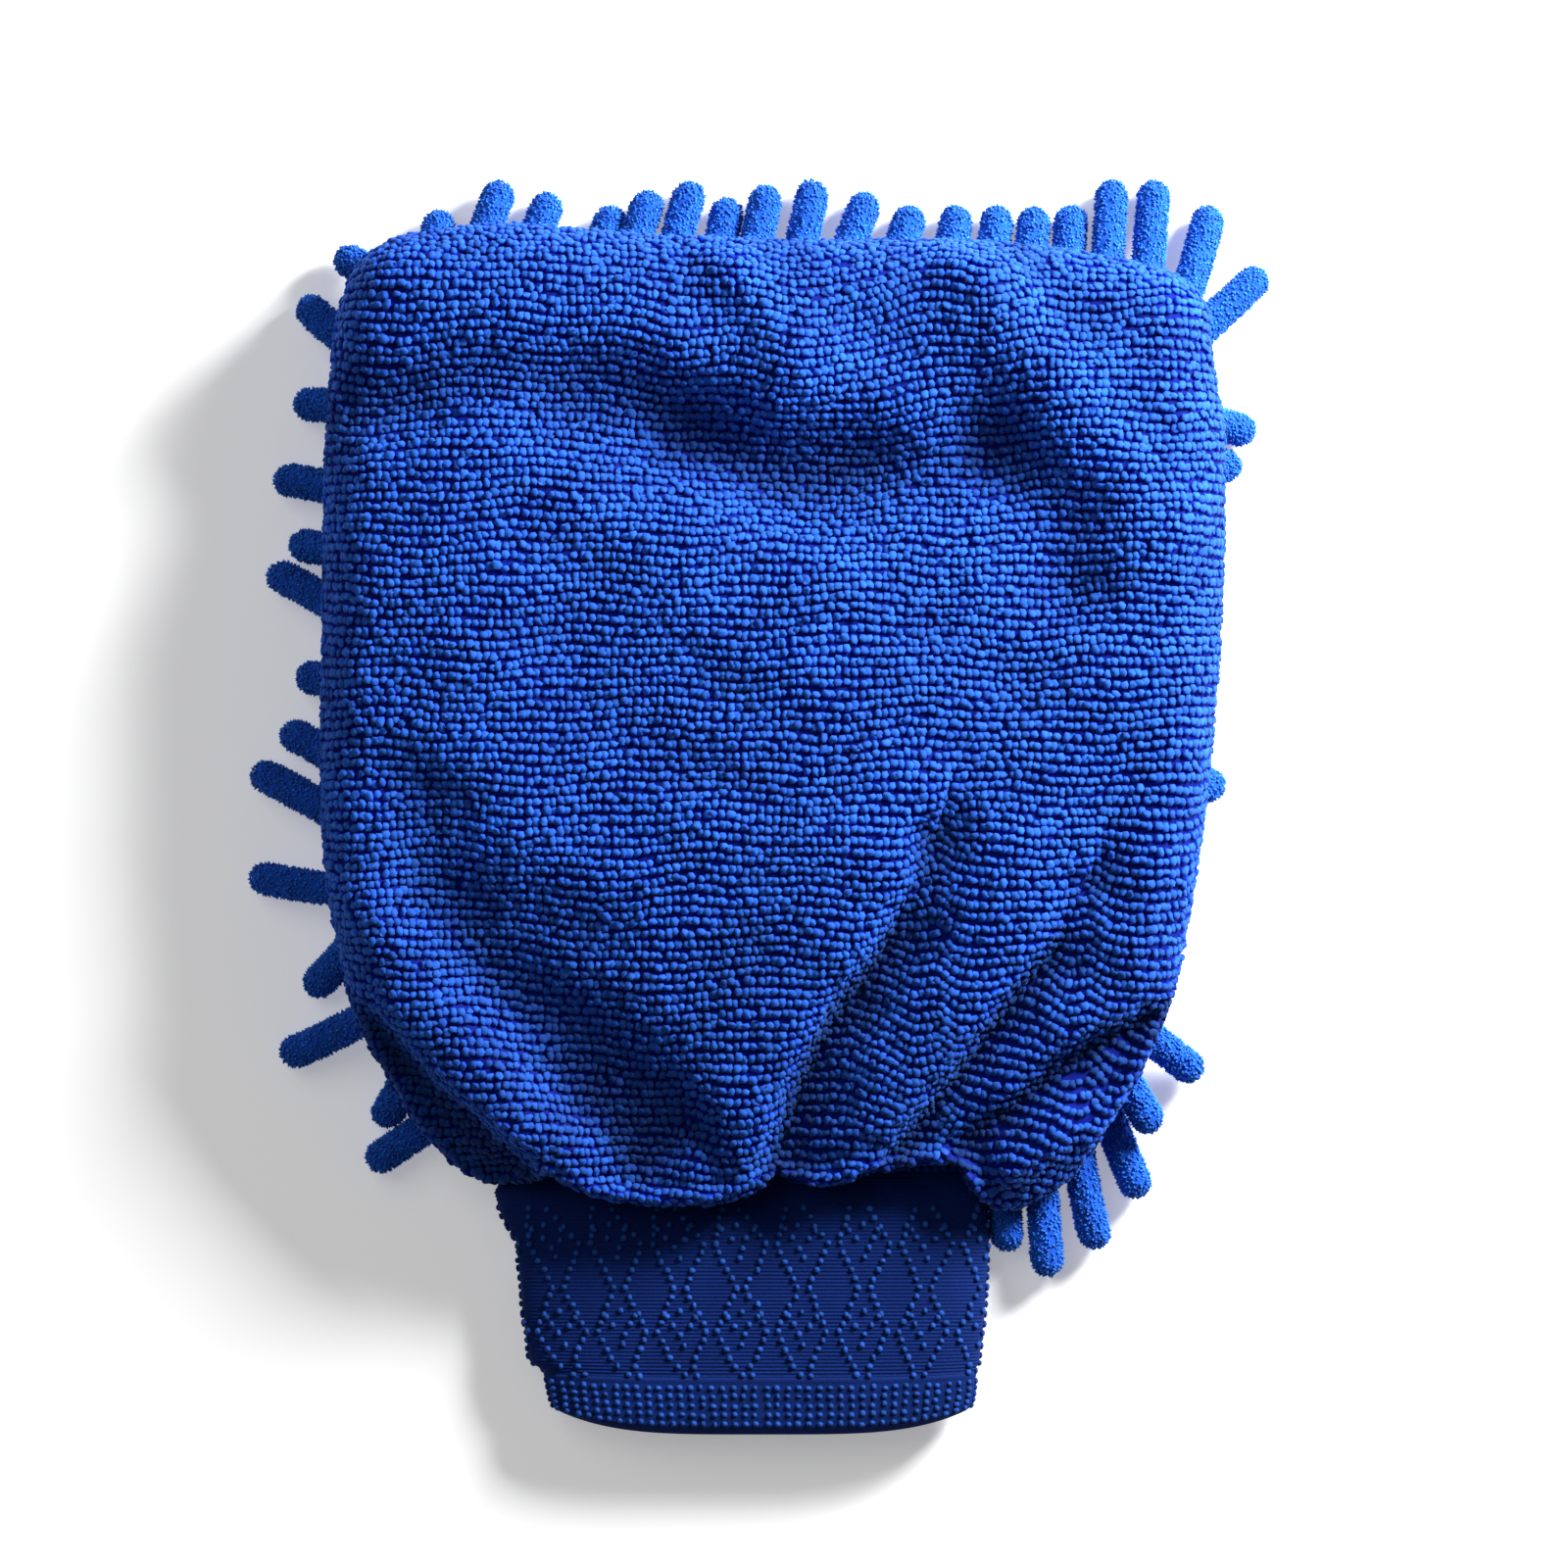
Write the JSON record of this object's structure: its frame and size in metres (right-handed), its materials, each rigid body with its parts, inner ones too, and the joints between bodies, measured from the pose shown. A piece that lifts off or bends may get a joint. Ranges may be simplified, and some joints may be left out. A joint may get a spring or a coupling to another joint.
{
  "type": "wash mitt",
  "caption": "Microfibre wash mitt with a looped terry face, a palm of chenille noodles and a knitted elastic cuff that folds at the wrist.",
  "frame": {"origin": "below the middle of the object's box, on the surface that it lies on", "axes": "+Y from the cuff to the fingertips, +Z out of the terry face"},
  "size_m": [0.209, 0.2574, 0.0344],
  "materials": {
    "terry": "royal blue looped microfibre terry",
    "noodle": "brighter royal blue velvety chenille pile",
    "mesh": "dark blue knitted mesh",
    "lining": "thin blue knitted polyester lining",
    "seam": "blue overlocked seam allowance",
    "cuff_knit": "navy blue fine knit with raised dotted diamonds",
    "cuff_inside": "navy blue plain fine knit",
    "cuff_hem": "navy blue knit band with rows of raised dots",
    "elastic": "covered elastic yarn"
  },
  "bodies": {
    "mitt": {"terry_face": "terry", "palm_lining": "lining", "chenille_mesh": "mesh", "pocket_seam": "seam", "wrist_seam": "seam", "chenille_row_01": "noodle", "chenille_row_02": "noodle", "chenille_row_03": "noodle", "chenille_row_04": "noodle", "chenille_row_05": "noodle", "chenille_row_06": "noodle", "chenille_row_07": "noodle", "chenille_row_08": "noodle", "chenille_row_09": "noodle", "chenille_row_10": "noodle", "chenille_row_11": "noodle", "chenille_row_wrist": "noodle", "rim_noodles_top": "noodle", "rim_noodles_left": "noodle", "rim_noodles_right": "noodle", "rim_noodles_lower_left": "noodle", "rim_noodles_lower_right": "noodle"},
    "cuff": {"cuff_outer_ply": "cuff_knit", "cuff_inner_ply": "cuff_inside", "cuff_elastic": "elastic", "cuff_hem_band": "cuff_hem"}
  },
  "joints": [
    {"name": "cuff_fold", "type": "hinge", "parent": "mitt", "child": "cuff", "pos_m": [-0.0012, -0.0768, 0.0054], "axis": [1, 0, 0], "range_deg": [-60, 60]}
  ]
}
